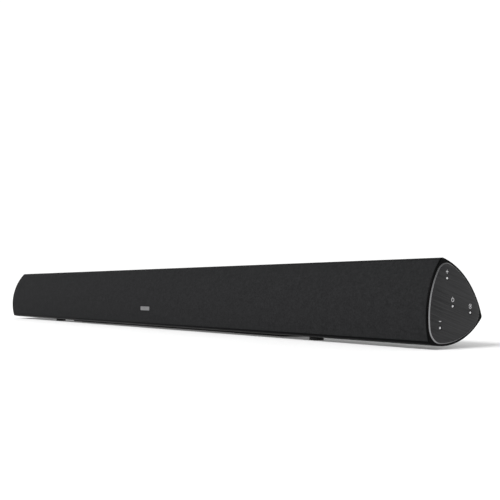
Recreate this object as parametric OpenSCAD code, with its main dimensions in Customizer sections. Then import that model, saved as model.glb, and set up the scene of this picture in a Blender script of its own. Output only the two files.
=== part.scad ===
// Soundbar with a rounded triangular section, side-mounted keys and a cloth front.
// +X is the end with the keys, -Y is the cloth front, +Z is up. Lengths in millimetres.
// The section is a triangle of constant width: each side is an arc about the opposite corner.
// Section sizes below named y and z are measured from the section's centroid.

/* [Body] */
// Length over the two end caps
body_length = 880; // [876:1:940]
// Side of the triangular section, which is also its width in every direction
section_side = 72; // [71.5:0.1:73]
// Lean of the section's top corner back from upright, in degrees
section_tilt = 16.3; // [15:0.1:18]
// Radius on the section's three corners
corner_round = 3; // [2:0.1:3.5]
// Thickness of the moulded shells
wall = 3; // [2.6:0.1:3.2]
// Thickness of the cloth
cloth_thickness = 0.8; // [0.6:0.1:1]
// Thickness of the perforated frame under the cloth
grille_thickness = 2; // [1.6:0.1:2.1]

/* [Ends] */
// Width of each end cap's rim along the body
cap_rim = 1.2; // [1:0.1:1.6]
// Thickness of the plug behind the rim, which locates the shells
cap_plug = 3.8; // [3.6:0.1:4]
// Width of the rim left round the metal panel
panel_inset = 1.8; // [1.6:0.1:2.2]
// Radius on the metal panel's corners
panel_round = 14; // [12:0.5:15]
// Thickness of the metal panel
panel_thickness = 1.6; // [1.5:0.1:1.8]
// How far the metal panel stands proud of the rim
panel_proud = 0.8; // [0.6:0.1:0.9]

/* [Keys] */
// Distance of the outer keys from the power key at the centre
key_spread = 23.8; // [22:0.1:24.5]
// Radius of a key's bead
key_radius = 1.2; // [1:0.1:1.3]
// Gap round each key
key_gap = 0.3; // [0.25:0.05:0.35]
// Travel of a key
key_travel = 0.4; // [0.3:0.05:0.45]

/* [Drivers] */
// Distances of the woofers from the middle of the bar
woofer_places = [250, 330];
// Distance of each tweeter from the middle of the bar
tweeter_place = 392; // [391:1:394]
// Half width of a woofer's square frame
woofer_half = 29; // [28.5:0.1:29]
// Half width of a tweeter's square face plate
tweeter_half = 20; // [19.5:0.1:20]
// Distance of each bass port from the middle of the bar
port_place = 165; // [162:1:170]
// Inner radius of a bass port
port_radius = 14; // [12:0.5:14]

/* [Stand] */
// Length of the pedestal
pedestal_length = 512; // [490:1:520]
// Width of the pedestal, front to back
pedestal_width = 40; // [38:1:42]
// Height of the body's lowest line above the pedestal's underside
pedestal_drop = 1.5; // [1.2:0.1:2]
// Thickness of the rubber feet
foot_thickness = 1; // [0.8:0.1:1.2]

/* [Rear] */
// Half length of the connector bay
bay_half = 75; // [74:1:77]
// Distance between the two wall mount threads
mount_spacing = 600; // [598:1:602]

/* [Hidden] */
$fn = 64;

// The section's corners: distance from the centroid, and the direction of each
vertex_radius = section_side / sqrt(3);
top_angle = 90 + section_tilt;
front_angle = top_angle + 60;
bottom_angle = top_angle + 120;
rear_angle = top_angle - 120;

// Distance of a rounded corner's centre from the centroid, on a section set in by inset
function corner_distance(inset, round) =
    (sqrt(4 * pow(section_side - inset - round, 2) - pow(section_side, 2)) - vertex_radius) / 2;

// A point at this distance and direction from the centroid
function polar(radius, angle) = [radius * cos(angle), radius * sin(angle)];

// How far the badge stands in front of the cloth
badge_proud = 0.6;

// How far the section reaches below, in front of and behind its centroid
section_low = section_side - vertex_radius * sin(top_angle);
section_front = section_side - vertex_radius * cos(rear_angle);
section_back = corner_distance(0, corner_round) * cos(rear_angle) + corner_round;

// Where the centroid lies in the bar's own frame
section_y = (section_front + badge_proud - section_back) / 2;
section_z = section_low + pedestal_drop + foot_thickness;

// Positions along the bar
half_length = body_length / 2;
rim_start = half_length - cap_rim;
plug_start = rim_start - cap_plug;
inner_end = plug_start - 0.2;
panel_seat = half_length + panel_proud - panel_thickness;

// Seams between the shells and the cloth, as directions from the centroid
top_seam = top_angle + 2.5;
bottom_seam = bottom_angle - 2.5;
rear_seam = rear_angle - 3;
rear_seam_gap = 0.4;

// How far a corner's circle runs past the sides, so that it crosses them cleanly
corner_overlap = 0.01;

// Gap between inner pieces and the shells
fit_gap = 0.05;

// Front baffle, as distances in front of the centroid towards the cloth
baffle_face = 20.2;
baffle_thickness = 4;
baffle_back = baffle_face - baffle_thickness;
baffle_end = 419;
flange_thickness = 2;
gasket_thickness = 0.5;
rebate_floor = baffle_face - flange_thickness - gasket_thickness;
woofer_screw = 23.5;
tweeter_screw = 16.5;
woofer_opening = 26.4;
tweeter_opening = 14.4;
driver_screw_radius = 1.5;
driver_screw_head = 2.6;
driver_screw_head_height = 0.9;

// Ribs of the grille frame stand between these windows: distance from the middle, length
grille_windows = [[70, 60], [175, 60], [250, 60], [330, 60], [tweeter_place, 40]];
grille_window_height = 50;
grille_pegs = [0, 120, 290, 366];
peg_radius = 2.5;

// Woofer parts, as distances in front of the centroid
cone_rim = 20.6;
cone_neck = 14;
cone_radius = 22;
coil_radius = 8.2;
coil_wall = 0.8;
coil_end = -3;
surround_radius = 26.5;
spider_level = 9.6;
magnet_radius = 18;
magnet_front = 3;
magnet_back = -8;
pole_radius = 6.9;
cone_thickness = 0.8;
surround_thickness = 0.5;
spider_thickness = 0.6;
basket_thickness = 0.8;
basket_floor = magnet_front + 2;
basket_window = 14;

// Screws
end_screw_distance = 31;
end_screw_radius = 1.5;
end_screw_head = 2.75;
end_screw_head_height = 1.7;
end_screw_recess = 1.9;
end_screw_length = 14;
end_boss_radius = 3.6;
end_boss_length = 15;
tray_screw_places = [125, 205, 366];
tray_screw_y = 10;
tray_screw_head = 2.8;
post_radius = 4;
post_end_z = -21;

// Connector bay, from the centroid, with its plate facing the rear
bay_plate_y = 12;
bay_plate_thickness = 2.5;
bay_wall = 2.5;
bay_floor_z = -2;
bay_ceiling_z = 22;
jack_z = 9;
mains_x = -52;
aux_x = -12;
optical_x = 8;
coax_x = 32;
sub_x = 56;

// Circuit boards
board_thickness = 1.6;
board_top_z = 3;
board_front_y = -13;
board_back_y = bay_plate_y - bay_plate_thickness - 0.5;

// Wall mount threads, M4, in flat seats on the rear cover
mount_y = 31;
mount_z = 5;
mount_seat_radius = 7;
mount_thread_radius = 1.65;
mount_insert_radius = 2.8;
mount_insert_length = 8;

// Bass ports
port_wall = 1.5;
port_front_y = -6;
port_z = 8;

shell_colour = "#17181a";
cloth_colour = "#2d2e30";
panel_colour = "#4b4b4d";
bead_colour = "#d5d6d8";
steel_colour = "#8d9094";
board_colour = "#1f5a3a";

// ---- Node names ----

function side_name(side) = side > 0 ? "right" : "left";
woofer_sites = [for (side = [-1, 1]) for (i = [0, 1]) [side * woofer_places[i], side, i]];
function woofer_name(site) = str(side_name(site[1]), site[2] == 0 ? "_inner_woofer" : "_outer_woofer");
woofer_parts = ["frame", "magnet", "cone", "surround", "spider"];
tweeter_parts = ["body", "dome"];

// ---- Frames to build in ----

// A section drawn from its centroid, run along the bar
module along_bar(from, to) {
    translate([from, section_y, section_z])
        rotate([90, 0, 90])
            linear_extrude(to - from)
                children();
}

// Children built along +Z point straight out of the front baffle at this place along the bar
module facing_front(x, sideways = 0) {
    translate([x, section_y, section_z])
        rotate([front_angle - 90, 0, 0])
            translate([0, sideways, 0])
                children();
}

// Children built along +Z point to the rear
module facing_rear(x, y, z) {
    translate([x, section_y + y, section_z + z])
        rotate([90, 0, 180])
            children();
}

// Children built along +Z point out of the right end
module facing_right(x, place = [0, 0]) {
    translate([x, section_y + place[0], section_z + place[1]])
        rotate([90, 0, 90])
            children();
}

// Children stand upright at a place given from the centroid
module upright(x, y, z) {
    translate([x, section_y + y, section_z + z])
        children();
}

module at_four_corners(half) {
    for (x = [-half, half])
        for (y = [-half, half])
            translate([x, y, 0])
                children();
}

// ---- Outlines ----

// The section set in all round by inset, with round corners
module section_outline(inset, round) {
    reach = section_side - inset;
    distance = corner_distance(inset, round);
    cut = distance + round * (distance + vertex_radius / 2) / (reach - round);
    intersection() {
        translate(polar(vertex_radius, top_angle)) circle(reach);
        translate(polar(vertex_radius, bottom_angle)) circle(reach);
        translate(polar(vertex_radius, rear_angle)) circle(reach);
        rotate(top_angle + 60) circle(2 * cut, $fn = 3);
    }
    for (angle = [top_angle, bottom_angle, rear_angle])
        translate(polar(distance, angle))
            circle(round + corner_overlap);
}

module outer_outline() section_outline(0, corner_round);
module inner_outline(inset = wall) section_outline(inset, 1);

// The part of the plane between two directions from the centroid
module wedge(from, to) {
    far = 2 * section_side;
    polygon([[0, 0], polar(far, from), polar(far, (from + to) / 2), polar(far, to)]);
}

// One side of the section as a band between two insets
module side_band(from, to, outer, inner) {
    intersection() {
        difference() {
            if (outer == 0) outer_outline();
            else inner_outline(outer);
            inner_outline(inner);
        }
        wedge(from, to);
    }
}

module rounded_rectangle(width, height, round) {
    square([width - 2 * round, height], center = true);
    square([width, height - 2 * round], center = true);
    for (x = [-1, 1])
        for (y = [-1, 1])
            translate([x * (width / 2 - round), y * (height / 2 - round)])
                circle(round);
}

module ring(outer, inner, length) {
    linear_extrude(length)
        difference() {
            circle(outer);
            circle(inner);
        }
}

// A straight round rod between two points
module rod(from, to, radius) {
    span = to - from;
    length = norm(span);
    translate(from)
        rotate([0, acos(span[2] / length), atan2(span[1], span[0])])
            cylinder(h = length, r = radius);
}

// ---- Casing ----

module end_screw_place(angle) {
    facing_right(0, polar(end_screw_distance, angle)) children();
}

// Screw bosses at one corner of the section, at both ends, webbed out to the corner
module end_bosses(angle) {
    for (start = [-inner_end, inner_end - end_boss_length])
        along_bar(start, start + end_boss_length)
            intersection() {
                difference() {
                    union() {
                        translate(polar(end_screw_distance, angle)) circle(end_boss_radius);
                        rotate(angle)
                            translate([end_screw_distance, -1.5])
                                square([vertex_radius - end_screw_distance, 3]);
                    }
                    translate(polar(end_screw_distance, angle)) circle(end_screw_radius);
                }
                inner_outline(wall - 0.1);
            }
}

// Posts that hang from the rear cover for the screws of the bottom tray
module tray_posts() {
    for (side = [-1, 1])
        for (x = tray_screw_places)
            intersection() {
                upright(side * x, tray_screw_y, post_end_z)
                    cylinder(h = section_side, r = post_radius);
                along_bar(-inner_end, inner_end) inner_outline(wall - 0.1);
            }
}

module mount_places() {
    for (side = [-1, 1])
        facing_rear(side * mount_spacing / 2, mount_y, mount_z)
            children();
}

module port_places() {
    for (side = [-1, 1])
        facing_rear(side * port_place, port_front_y, port_z)
            children();
}

module rear_cover() color(shell_colour) {
    bay_cut = bay_half + bay_wall;
    difference() {
        union() {
            along_bar(-rim_start, rim_start) side_band(rear_seam + rear_seam_gap / 2, top_seam, 0, wall);
            end_bosses(top_angle);
            end_bosses(rear_angle);
            tray_posts();
            mount_places() translate([0, 0, -mount_insert_length - 1])
                cylinder(h = mount_insert_length + 1, r = mount_seat_radius);
        }
        upright(0, bay_plate_y, bay_floor_z - bay_wall)
            translate([-bay_cut, -bay_plate_thickness, 0])
                cube([2 * bay_cut, section_side, bay_ceiling_z - bay_floor_z + 2 * bay_wall]);
        port_places() cylinder(h = section_side, r = port_radius + port_wall);
        mount_places() cylinder(h = section_side, r = mount_seat_radius);
        mount_places() translate([0, 0, -mount_insert_length])
            cylinder(h = mount_insert_length, r = mount_insert_radius);
        tray_screw_shanks();
    }
}

module bottom_tray() color(shell_colour) {
    difference() {
        union() {
            along_bar(-rim_start, rim_start)
                side_band(bottom_seam, rear_seam + 360 - rear_seam_gap / 2, 0, wall);
            end_bosses(bottom_angle);
            tray_bosses();
        }
        tray_screw_shanks();
        tray_screw_sites()
            translate([0, 0, -wall])
                cylinder(h = wall, r = tray_screw_head + 0.2);
    }
}

// The tray's outer face at the screws' distance behind the centroid
tray_face_z = vertex_radius * sin(top_angle)
    - sqrt(pow(section_side, 2) - pow(tray_screw_y - vertex_radius * cos(top_angle), 2));
tray_head_seat_z = tray_face_z + 2;

module tray_screw_sites() {
    for (side = [-1, 1])
        for (x = tray_screw_places)
            upright(side * x, tray_screw_y, tray_head_seat_z)
                children();
}

module tray_screw_shanks() {
    tray_screw_sites() cylinder(h = 18, r = end_screw_radius);
}

// Bosses inside the tray that the posts stand on
module tray_bosses() {
    intersection() {
        tray_screw_sites() cylinder(h = post_end_z - tray_head_seat_z, r = post_radius);
        along_bar(-inner_end, inner_end) inner_outline(wall - 0.1);
    }
}

module tray_screws() color(steel_colour) {
    tray_screw_shanks();
    tray_screw_sites() translate([0, 0, -1.4]) screw_head(tray_screw_head, 1.4);
}

// A pan head with a cross recess in its lower face
module screw_head(radius, height) {
    difference() {
        cylinder(h = height, r = radius);
        for (turn = [0, 90])
            rotate(turn)
                translate([-radius * 0.6, -0.3, -1])
                    cube([radius * 1.2, 0.6, 1.7]);
    }
}

// The cap's full plate, its plug inside the shells and its screw holes
module end_cap_plate() {
    difference() {
        union() {
            along_bar(rim_start, half_length) outer_outline();
            along_bar(plug_start, rim_start) inner_outline(wall + 0.1);
        }
        along_bar(panel_seat, half_length + 1) section_outline(panel_inset, panel_round);
        for (angle = [top_angle, bottom_angle, rear_angle])
            end_screw_place(angle) {
                cylinder(h = half_length + 1, r = end_screw_radius + 0.2);
                translate([0, 0, panel_seat - end_screw_recess])
                    cylinder(h = panel_seat, r = end_screw_head + 0.15);
            }
    }
}

module left_end_cap() color(shell_colour) mirror([1, 0, 0]) end_cap_plate();

module right_end_cap() color(shell_colour) {
    difference() {
        union() {
            end_cap_plate();
            for (angle = board_post_angles)
                facing_right(key_board_x + board_thickness, polar(board_post_distance, angle))
                    cylinder(h = plug_start - key_board_x - board_thickness, r = 2.2);
        }
        for (place = key_places)
            facing_right(plug_start - 1, place)
                cylinder(h = cap_plug + cap_rim + 1, r = key_flange_radius + key_gap + 0.1);
    }
}

module end_panel_plate() {
    along_bar(panel_seat, half_length + 0.1)
        section_outline(panel_inset, panel_round);
    along_bar(half_length + 0.1, half_length + panel_proud)
        section_outline(panel_inset + panel_proud - 0.1, panel_round - panel_proud + 0.1);
}

module left_end_panel() color(panel_colour) mirror([1, 0, 0]) end_panel_plate();

module right_end_panel() color(panel_colour) {
    difference() {
        end_panel_plate();
        for (place = key_places)
            facing_right(panel_seat - 1, place)
                cylinder(h = panel_thickness + 2, r = key_radius + key_gap);
    }
}

// ---- Keys ----

key_places = [polar(key_spread, top_angle), [0, 0], polar(key_spread, rear_angle),
              polar(key_spread, bottom_angle)];
key_flange_radius = 2.6;
key_flange_thickness = 0.8;
key_flange_gap = 0.1;
key_dome_height = 0.3;
key_dome_radius = 1.6;
key_stem_radius = 1;
key_stem_gap = key_travel + 0.1;
key_board_x = half_length - 14;
key_switch_height = 3.4;
key_switch_side = 4.5;
key_plunger_radius = 1.5;
key_plunger_height = 1.2;
board_post_angles = [top_angle + 60, top_angle - 60, top_angle - 180];
board_post_distance = 13;

// A domed bead, its shank through the panel, a flange behind the panel and a stem to the switch
module key(place) color(bead_colour) {
    switch_top = key_board_x + board_thickness + key_switch_height;
    stem_back = switch_top + key_stem_gap;
    flange_front = panel_seat - key_flange_gap;
    flange_back = flange_front - key_flange_thickness;
    panel_front = half_length + panel_proud;
    dome_foot = panel_front - key_dome_height;
    dome_top = panel_front + key_dome_height;
    facing_right(0, place) {
        translate([0, 0, flange_front])
            cylinder(h = dome_foot - flange_front, r = key_radius);
        intersection() {
            translate([0, 0, dome_top - key_dome_radius]) sphere(r = key_dome_radius);
            translate([0, 0, dome_foot]) cylinder(h = key_dome_radius, r = key_radius);
        }
        translate([0, 0, flange_back]) cylinder(h = key_flange_thickness, r = key_flange_radius);
        translate([0, 0, stem_back]) cylinder(h = flange_back - stem_back, r = key_stem_radius);
    }
}

module key_board() color(board_colour) {
    facing_right(key_board_x)
        linear_extrude(board_thickness)
            section_outline(10.5, 8);
    for (place = key_places)
        facing_right(key_board_x + board_thickness, place) {
            linear_extrude(key_switch_height - key_plunger_height)
                square(key_switch_side, center = true);
            cylinder(h = key_switch_height, r = key_plunger_radius);
        }
}

// ---- Front ----

// Sites of the drivers: distance along the bar, half width, screw offset, opening radius
driver_sites = concat(
    [for (site = woofer_sites) [site[0], woofer_half, woofer_screw, woofer_opening]],
    [for (side = [-1, 1]) [side * tweeter_place, tweeter_half, tweeter_screw, tweeter_opening]]
);

module driver_outline(half) rounded_rectangle(2 * half, 2 * half, 5);

module front_baffle() color(shell_colour) {
    difference() {
        intersection() {
            facing_front(0)
                translate([-baffle_end, -section_side / 2, baffle_back])
                    cube([2 * baffle_end, section_side, baffle_thickness]);
            along_bar(-baffle_end, baffle_end) inner_outline(wall + fit_gap);
        }
        for (site = driver_sites)
            facing_front(site[0]) {
                translate([0, 0, rebate_floor])
                    linear_extrude(baffle_thickness) driver_outline(site[1] + 0.1);
                translate([0, 0, baffle_back - 1])
                    cylinder(h = baffle_thickness, r = site[3] + 0.1);
                at_four_corners(site[2])
                    translate([0, 0, baffle_back - 1])
                        cylinder(h = baffle_thickness, r = driver_screw_radius);
            }
        grille_peg_sites() translate([0, 0, baffle_back - 1])
            cylinder(h = baffle_thickness + 2, r = peg_radius);
    }
}

module grille_peg_sites() {
    for (side = [-1, 1])
        for (x = grille_pegs)
            if (x > 0 || side > 0)
                facing_front(side * x)
                    children();
}

// Distance of the grille frame's inner face in front of the centroid, on the middle line
grille_inner_face = section_side - cloth_thickness - grille_thickness - vertex_radius;

module grille_frame() color(shell_colour) {
    difference() {
        union() {
            along_bar(-inner_end, inner_end)
                side_band(top_seam, bottom_seam, cloth_thickness, cloth_thickness + grille_thickness);
            grille_peg_sites() translate([0, 0, baffle_back + 0.5])
                cylinder(h = grille_inner_face - baffle_back, r = peg_radius);
        }
        for (side = [-1, 1])
            for (window = grille_windows)
                facing_front(side * window[0])
                    linear_extrude(section_side)
                        rounded_rectangle(window[1], grille_window_height, 6);
        badge_pins();
    }
}

module grille_cloth() color(cloth_colour) {
    difference() {
        along_bar(-rim_start, rim_start) side_band(top_seam, bottom_seam, 0, cloth_thickness);
        badge_pins();
    }
}

// ---- Badge ----

badge_width = 21;
badge_height = 4.8;
badge_corner = 1;
badge_pin_places = [-8, 8];
badge_pin_radius = 0.8;
badge_pin_length = 2.4;
badge_z = vertex_radius * sin(rear_angle);

// Children built along +Z point forward from the front-most line of the cloth
module badge_site() {
    upright(0, -section_front, badge_z)
        rotate([90, 0, 0])
            children();
}

module badge_pins() {
    badge_site()
        for (x = badge_pin_places)
            translate([x, 0, -badge_pin_length])
                cylinder(h = badge_pin_length, r = badge_pin_radius);
}

module badge() color(bead_colour) {
    badge_pins();
    badge_site()
        linear_extrude(badge_proud)
            rounded_rectangle(badge_width, badge_height, badge_corner);
}

// ---- Woofers ----

module woofer_frame(x) color(shell_colour) {
    basket_outer = surround_radius - 0.1;
    facing_front(x) {
        difference() {
            translate([0, 0, baffle_face - flange_thickness])
                linear_extrude(flange_thickness) driver_outline(woofer_half);
            translate([0, 0, baffle_back]) cylinder(h = 2 * baffle_thickness, r = surround_radius);
            at_four_corners(woofer_screw) cylinder(h = 2 * baffle_face, r = driver_screw_radius);
        }
        difference() {
            rotate_extrude()
                polygon([[basket_outer - basket_thickness, baffle_face - flange_thickness],
                         [basket_outer, baffle_face - flange_thickness],
                         [basket_outer, baffle_back],
                         [magnet_radius + 1.5, basket_floor],
                         [magnet_radius + 1.5, magnet_front],
                         [coil_radius + 2 * basket_thickness, magnet_front],
                         [coil_radius + 2 * basket_thickness, basket_floor],
                         [magnet_radius - 0.5, basket_floor]]);
            for (turn = [45, 135])
                rotate(turn)
                    translate([-woofer_half, -basket_window / 2, basket_floor + 0.2])
                        cube([2 * woofer_half, basket_window, spider_level - basket_floor - 1.4]);
        }
        woofer_flange_collar();
    }
}

// The short collar that joins the basket to the square flange
module woofer_flange_collar() {
    translate([0, 0, baffle_face - flange_thickness])
        ring(surround_radius + 0.2, surround_radius - 0.9, flange_thickness - 1.2);
}

module woofer_magnet(x) color(steel_colour) {
    facing_front(x)
        rotate_extrude()
            polygon([[0, magnet_back], [magnet_radius, magnet_back], [magnet_radius, magnet_front],
                     [coil_radius + 0.7, magnet_front], [coil_radius + 0.7, magnet_back + 2],
                     [pole_radius, magnet_back + 2], [pole_radius, magnet_front], [0, magnet_front]]);
}

// Paper cone with its dust cap and voice coil, one turned piece
module woofer_cone(x) color("#26272a") {
    inner = coil_radius - coil_wall;
    facing_front(x)
        rotate_extrude()
            polygon([[inner, coil_end], [coil_radius, coil_end], [coil_radius, cone_neck],
                     [cone_radius, cone_rim - cone_thickness], [cone_radius, cone_rim],
                     [coil_radius, cone_neck + 1], [coil_radius * 0.7, cone_neck + 2.2],
                     [coil_radius * 0.35, cone_neck + 2.9], [0, cone_neck + 3.1],
                     [0, cone_neck + 2.5], [coil_radius * 0.35, cone_neck + 2.3],
                     [coil_radius * 0.7, cone_neck + 1.4], [inner, cone_neck]]);
}

// Half-roll surround between the cone and the frame
module woofer_surround(x) color("#101113") {
    middle = (cone_radius + surround_radius) / 2;
    roll = (surround_radius - cone_radius) / 2;
    facing_front(x)
        translate([0, 0, cone_rim - 0.6])
            rotate_extrude()
                intersection() {
                    difference() {
                        translate([middle, 0]) circle(roll);
                        translate([middle, 0]) circle(roll - surround_thickness);
                    }
                    square([2 * middle, roll]);
                }
}

// Corrugated spider between the voice coil and the frame
module woofer_spider(x) color("#b08a3c") {
    facing_front(x)
        translate([0, 0, spider_level])
            ring(magnet_radius + 2, coil_radius, spider_thickness);
}

// ---- Tweeters ----

tweeter_dome_radius = 9.4;
tweeter_dome_height = 3.2;
tweeter_dome_wall = 0.4;
tweeter_coil_length = 4;
tweeter_dome_foot = baffle_face - 1.4;

module tweeter_body(x) color(shell_colour) {
    cup_back = 8;
    gap_inner = tweeter_dome_radius - 0.8;
    gap_outer = tweeter_dome_radius + 0.4;
    facing_front(x)
        difference() {
            union() {
                translate([0, 0, baffle_face - flange_thickness])
                    linear_extrude(flange_thickness) driver_outline(tweeter_half);
                translate([0, 0, cup_back])
                    cylinder(h = baffle_face - flange_thickness - cup_back, r = tweeter_opening);
            }
            translate([0, 0, cup_back + 4])
                difference() {
                    cylinder(h = section_side, r = gap_outer);
                    cylinder(h = 6, r = gap_inner);
                }
            translate([0, 0, baffle_face - flange_thickness])
                cylinder(h = flange_thickness + 1, r = gap_outer + 0.6);
            at_four_corners(tweeter_screw) cylinder(h = 2 * baffle_face, r = driver_screw_radius);
        }
}

// Dome and voice coil of a tweeter, hollow
module tweeter_dome(x) color("#c9ccd0") {
    inner = tweeter_dome_radius - tweeter_dome_wall;
    ball = (pow(tweeter_dome_radius, 2) + pow(tweeter_dome_height, 2)) / (2 * tweeter_dome_height);
    facing_front(x) {
        translate([0, 0, tweeter_dome_foot - tweeter_coil_length])
            ring(tweeter_dome_radius, inner, tweeter_coil_length);
        translate([0, 0, tweeter_dome_foot])
            intersection() {
                translate([0, 0, tweeter_dome_height - ball])
                    difference() {
                        sphere(r = ball);
                        sphere(r = ball - tweeter_dome_wall);
                    }
                cylinder(h = tweeter_dome_height + 1, r = tweeter_dome_radius);
            }
    }
}

// ---- Driver fixings ----

module driver_gaskets() color("#08090a") {
    for (site = driver_sites)
        facing_front(site[0])
            translate([0, 0, rebate_floor])
                linear_extrude(gasket_thickness)
                    difference() {
                        driver_outline(site[1]);
                        circle(site[3] + 0.1);
                        at_four_corners(site[2]) circle(driver_screw_radius);
                    }
}

module driver_screws() color(steel_colour) {
    for (site = driver_sites)
        facing_front(site[0])
            at_four_corners(site[2]) {
                translate([0, 0, baffle_back]) cylinder(h = baffle_thickness, r = driver_screw_radius);
                translate([0, 0, baffle_face]) cylinder(h = driver_screw_head_height, r = driver_screw_head);
            }
}

module end_cap_screws() color(steel_colour) {
    seat = panel_seat - end_screw_recess;
    for (turned = [0, 1])
        mirror([turned, 0, 0])
            for (angle = [top_angle, bottom_angle, rear_angle])
                end_screw_place(angle) {
                    translate([0, 0, seat - end_screw_length])
                        cylinder(h = end_screw_length, r = end_screw_radius);
                    translate([0, 0, seat + end_screw_head_height])
                        mirror([0, 0, 1])
                            screw_head(end_screw_head, end_screw_head_height);
                }
}

// ---- Bass ports and wall mount ----

module bass_port(side) color(shell_colour) {
    intersection() {
        facing_rear(side * port_place, port_front_y, port_z)
            ring(port_radius + port_wall, port_radius, section_side);
        along_bar(-rim_start, rim_start) outer_outline();
    }
}

module wall_mount_inserts() color("#b8923f") {
    mount_places() translate([0, 0, -mount_insert_length])
        ring(mount_insert_radius, mount_thread_radius, mount_insert_length);
}

// ---- Connector bay ----

// Sockets, measured from the plate's outer face: bodies behind it, collars and barrels in front
jack_collar = 1;
inlet_body = [22, 12, 12];
inlet_flange = [25, 15.5];
inlet_socket_depth = 9;
inlet_pin_pitch = 8.6;
inlet_pin_radius = 1.2;
aux_body = [8, 11, 12];
aux_body_front = -2.5;
aux_collar_radius = 4;
aux_bore_radius = 1.8;
optical_body = [10, 10, 13];
optical_flange = [12, 12];
optical_hole = 6.4;
optical_hole_depth = 7.5;
phono_body = [10, 11, 10];
phono_body_front = -2.5;
phono_neck_radius = 5;
phono_collar_radius = 5.6;
phono_barrel_radius = 4.15;
phono_barrel_length = 9;
phono_bore_radius = 1.6;
phono_bore_depth = 4;

// A block centred across its socket's axis, its front face at this level
module block_behind(size, front) {
    translate([0, 0, front - size.z])
        linear_extrude(size.z)
            square([size.x, size.y], center = true);
}

// Cut-outs in the bay's plate, one for each socket
module jack_cutouts() {
    through = 60;
    bay_site(mains_x)
        linear_extrude(through, center = true)
            square([inlet_body.x, inlet_body.y], center = true);
    bay_site(aux_x) cylinder(h = through, r = aux_collar_radius, center = true);
    bay_site(optical_x) linear_extrude(through, center = true) square(optical_body.x, center = true);
    for (x = [coax_x, sub_x])
        bay_site(x) cylinder(h = through, r = phono_neck_radius, center = true);
}

// Children built along +Z stick out of the plate's outer face to the rear
module bay_site(x) facing_rear(x, bay_plate_y, jack_z) children();

module connector_bay() color(shell_colour) {
    height = bay_ceiling_z - bay_floor_z;
    back = bay_plate_y - bay_plate_thickness;
    difference() {
        intersection() {
            upright(0, back, bay_floor_z - bay_wall)
                translate([-bay_half - bay_wall, 0, 0])
                    cube([2 * (bay_half + bay_wall), section_side, height + 2 * bay_wall]);
            along_bar(-bay_half - bay_wall, bay_half + bay_wall) outer_outline();
        }
        upright(0, bay_plate_y, bay_floor_z)
            translate([-bay_half, 0, 0])
                cube([2 * bay_half, section_side, height]);
        intersection() {
            jack_cutouts();
            upright(0, back - 1, bay_floor_z)
                translate([-bay_half, 0, 0])
                    cube([2 * bay_half, bay_plate_thickness + 2, height]);
        }
    }
}

// Two-pin mains inlet with a figure-eight socket
module mains_inlet() color("#0c0c0d") {
    bay_site(mains_x) {
        difference() {
            union() {
                block_behind(inlet_body, 0);
                linear_extrude(jack_collar) rounded_rectangle(inlet_flange.x, inlet_flange.y, 2);
            }
            translate([0, 0, jack_collar - inlet_socket_depth])
                linear_extrude(inlet_socket_depth + 1) {
                    for (side = [-0.5, 0.5])
                        translate([side * inlet_pin_pitch, 0]) circle(4.1);
                    square([inlet_pin_pitch, 6.6], center = true);
                }
        }
        for (side = [-0.5, 0.5])
            translate([side * inlet_pin_pitch, 0, -inlet_socket_depth])
                cylinder(h = inlet_socket_depth - jack_collar, r = inlet_pin_radius);
    }
}

// 3.5 mm headphone-size jack
module aux_jack() color("#0c0c0d") {
    bay_site(aux_x)
        difference() {
            union() {
                block_behind(aux_body, aux_body_front);
                translate([0, 0, aux_body_front])
                    cylinder(h = jack_collar - aux_body_front, r = aux_collar_radius);
            }
            translate([0, 0, -aux_body.z - 1]) cylinder(h = 20, r = aux_bore_radius);
        }
}

module optical_jack() color("#0c0c0d") {
    bay_site(optical_x)
        difference() {
            union() {
                block_behind(optical_body, 0);
                linear_extrude(jack_collar) rounded_rectangle(optical_flange.x, optical_flange.y, 1.5);
            }
            translate([0, 0, -optical_hole_depth]) linear_extrude(20) square(optical_hole, center = true);
        }
}

// Phono jack: housing behind the plate and a ringed barrel outside it
module phono_jack(x, colour) color(colour) {
    bay_site(x)
        difference() {
            union() {
                block_behind(phono_body, phono_body_front);
                translate([0, 0, phono_body_front]) cylinder(h = -phono_body_front, r = phono_neck_radius);
                cylinder(h = jack_collar, r = phono_collar_radius);
                cylinder(h = phono_barrel_length, r = phono_barrel_radius);
            }
            translate([0, 0, -phono_bore_depth]) cylinder(h = 20, r = phono_bore_radius);
            translate([0, 0, jack_collar])
                ring(phono_barrel_radius - 0.85, phono_bore_radius + 1, phono_barrel_length);
        }
}

module coaxial_jack() phono_jack(coax_x, "#c8752a");
module subwoofer_jack() phono_jack(sub_x, "#5d3f86");

// ---- Electronics ----

// A level board between two places along the bar
module level_board(from, to) {
    upright(from, board_front_y, board_top_z - board_thickness)
        cube([to - from, board_back_y - board_front_y, board_thickness]);
}

// A component standing on the level boards
module on_board(x, y) upright(x, y, board_top_z) children();

module power_supply_board() color(board_colour) {
    transformer = [22, 16, 15];
    filter = [16, 7, 12];
    capacitor_radius = 4.5;
    capacitor_height = 14;
    level_board(-112, -24);
    on_board(-104, -9) cube(transformer);
    on_board(-75, -8) cube(filter);
    for (x = [-54, -42, -30])
        on_board(x, -6.5) cylinder(h = capacitor_height, r = capacitor_radius);
}

amplifier_chip = [14, 8, 1.4];
amplifier_chip_x = 20;
amplifier_chip_y = -10;

module amplifier_board() color(board_colour) {
    terminal = [6, 12, 7];
    capacitor_radius = 4;
    capacitor_height = 9;
    level_board(-20, 112);
    on_board(amplifier_chip_x, amplifier_chip_y) cube(amplifier_chip);
    for (x = [70, 80, 90])
        on_board(x, -5) cylinder(h = capacitor_height, r = capacitor_radius);
    for (x = [95, 103])
        on_board(x, -8) cube(terminal);
}

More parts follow.
